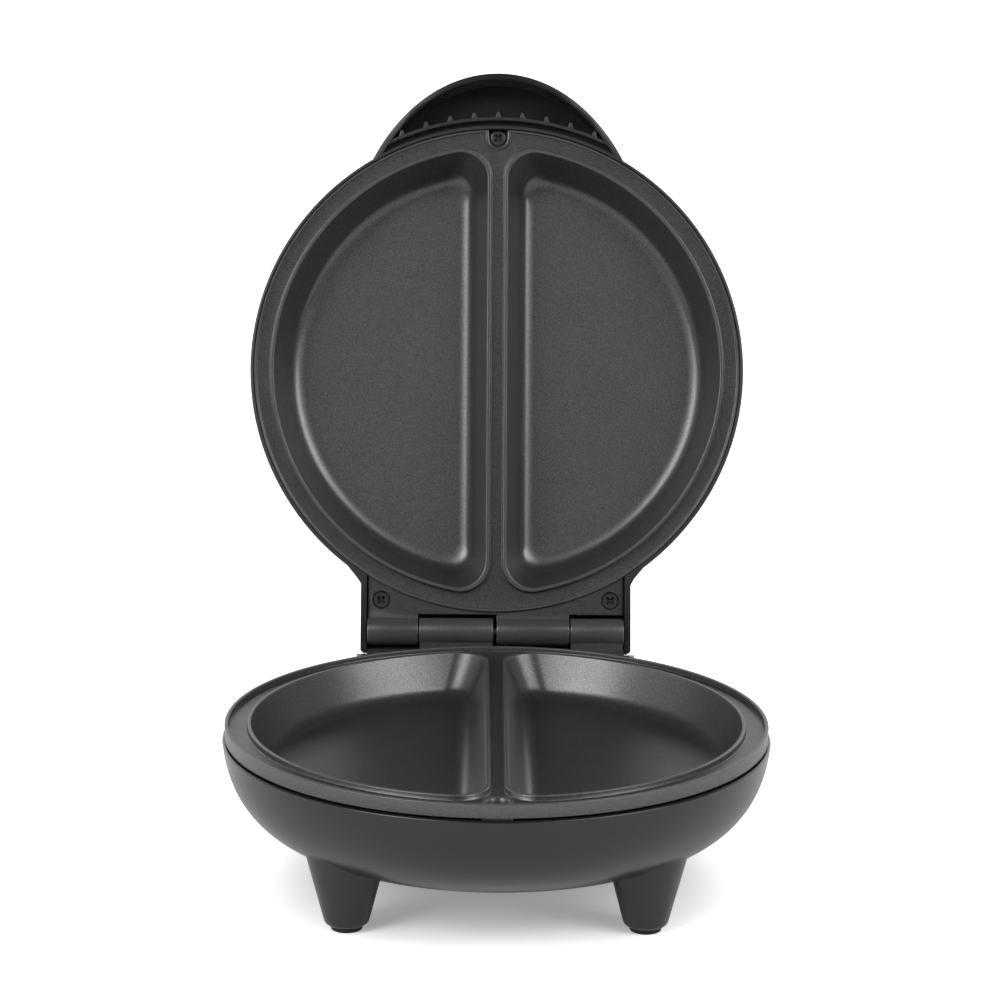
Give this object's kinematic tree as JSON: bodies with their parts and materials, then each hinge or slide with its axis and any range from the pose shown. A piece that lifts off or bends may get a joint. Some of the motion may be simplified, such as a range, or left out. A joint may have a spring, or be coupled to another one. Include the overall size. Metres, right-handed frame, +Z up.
{
  "type": "electric omelette maker",
  "caption": "Round countertop omelette maker on short legs, its hinged lid open over half-moon non-stick cooking cavities, with a hollow grip at the lid's front.",
  "frame": {"origin": "on the table, at the middle of the open appliance's footprint", "axes": "+Z up; -Y to the front, where the handle is when the lid is shut; +X to the right seen from the front, along the hinge axis"},
  "size_m": [0.22, 0.3157, 0.3094],
  "materials": {
    "housing_plastic": "black heat-resistant plastic with a fine satin grain",
    "nonstick_casting": "cast aluminium with a dark grey non-stick coating, satin",
    "foot_rubber": "black rubber, matte",
    "gland_rubber": "black rubber, matte",
    "steel": "zinc-plated steel",
    "element_tube": "steel-sheathed heating element, dulled",
    "sheet_metal": "bright rolled sheet",
    "ceramic": "ivory ceramic",
    "fuse_sleeve": "white glass-fibre sleeve",
    "terminal_plastic": "off-white plastic",
    "red_lens": "clear red plastic, glossy",
    "green_lens": "clear green plastic, glossy"
  },
  "bodies": {
    "base": {"base_housing": "housing_plastic", "foot_pads": "foot_rubber", "lower_plate": "nonstick_casting", "hinge_pin": "steel", "lower_front_screw": "steel", "lower_hinge_screws": "steel", "lower_heating_element": "element_tube", "lower_element_clamps": "sheet_metal", "lower_clamp_screws": "steel", "lower_reflector": "sheet_metal", "thermostat": "ceramic", "thermostat_bracket": "sheet_metal", "thermostat_screws": "steel", "thermal_fuse": "fuse_sleeve", "terminal_block": "terminal_plastic", "cord_gland": "gland_rubber"},
    "lid": {"lid_housing": "housing_plastic", "upper_plate": "nonstick_casting", "upper_front_screw": "steel", "upper_hinge_screws": "steel", "upper_heating_element": "element_tube", "upper_element_clamps": "sheet_metal", "upper_clamp_screws": "steel", "upper_reflector": "sheet_metal", "power_lamp_lens": "red_lens", "ready_lamp_lens": "green_lens", "lamp_holder": "terminal_plastic"}
  },
  "joints": [
    {"name": "lid_hinge", "type": "hinge", "parent": "base", "child": "lid", "pos_m": [0, 0.06813, 0.0719], "axis": [1, 0, 0], "range_deg": [0, 108]}
  ]
}
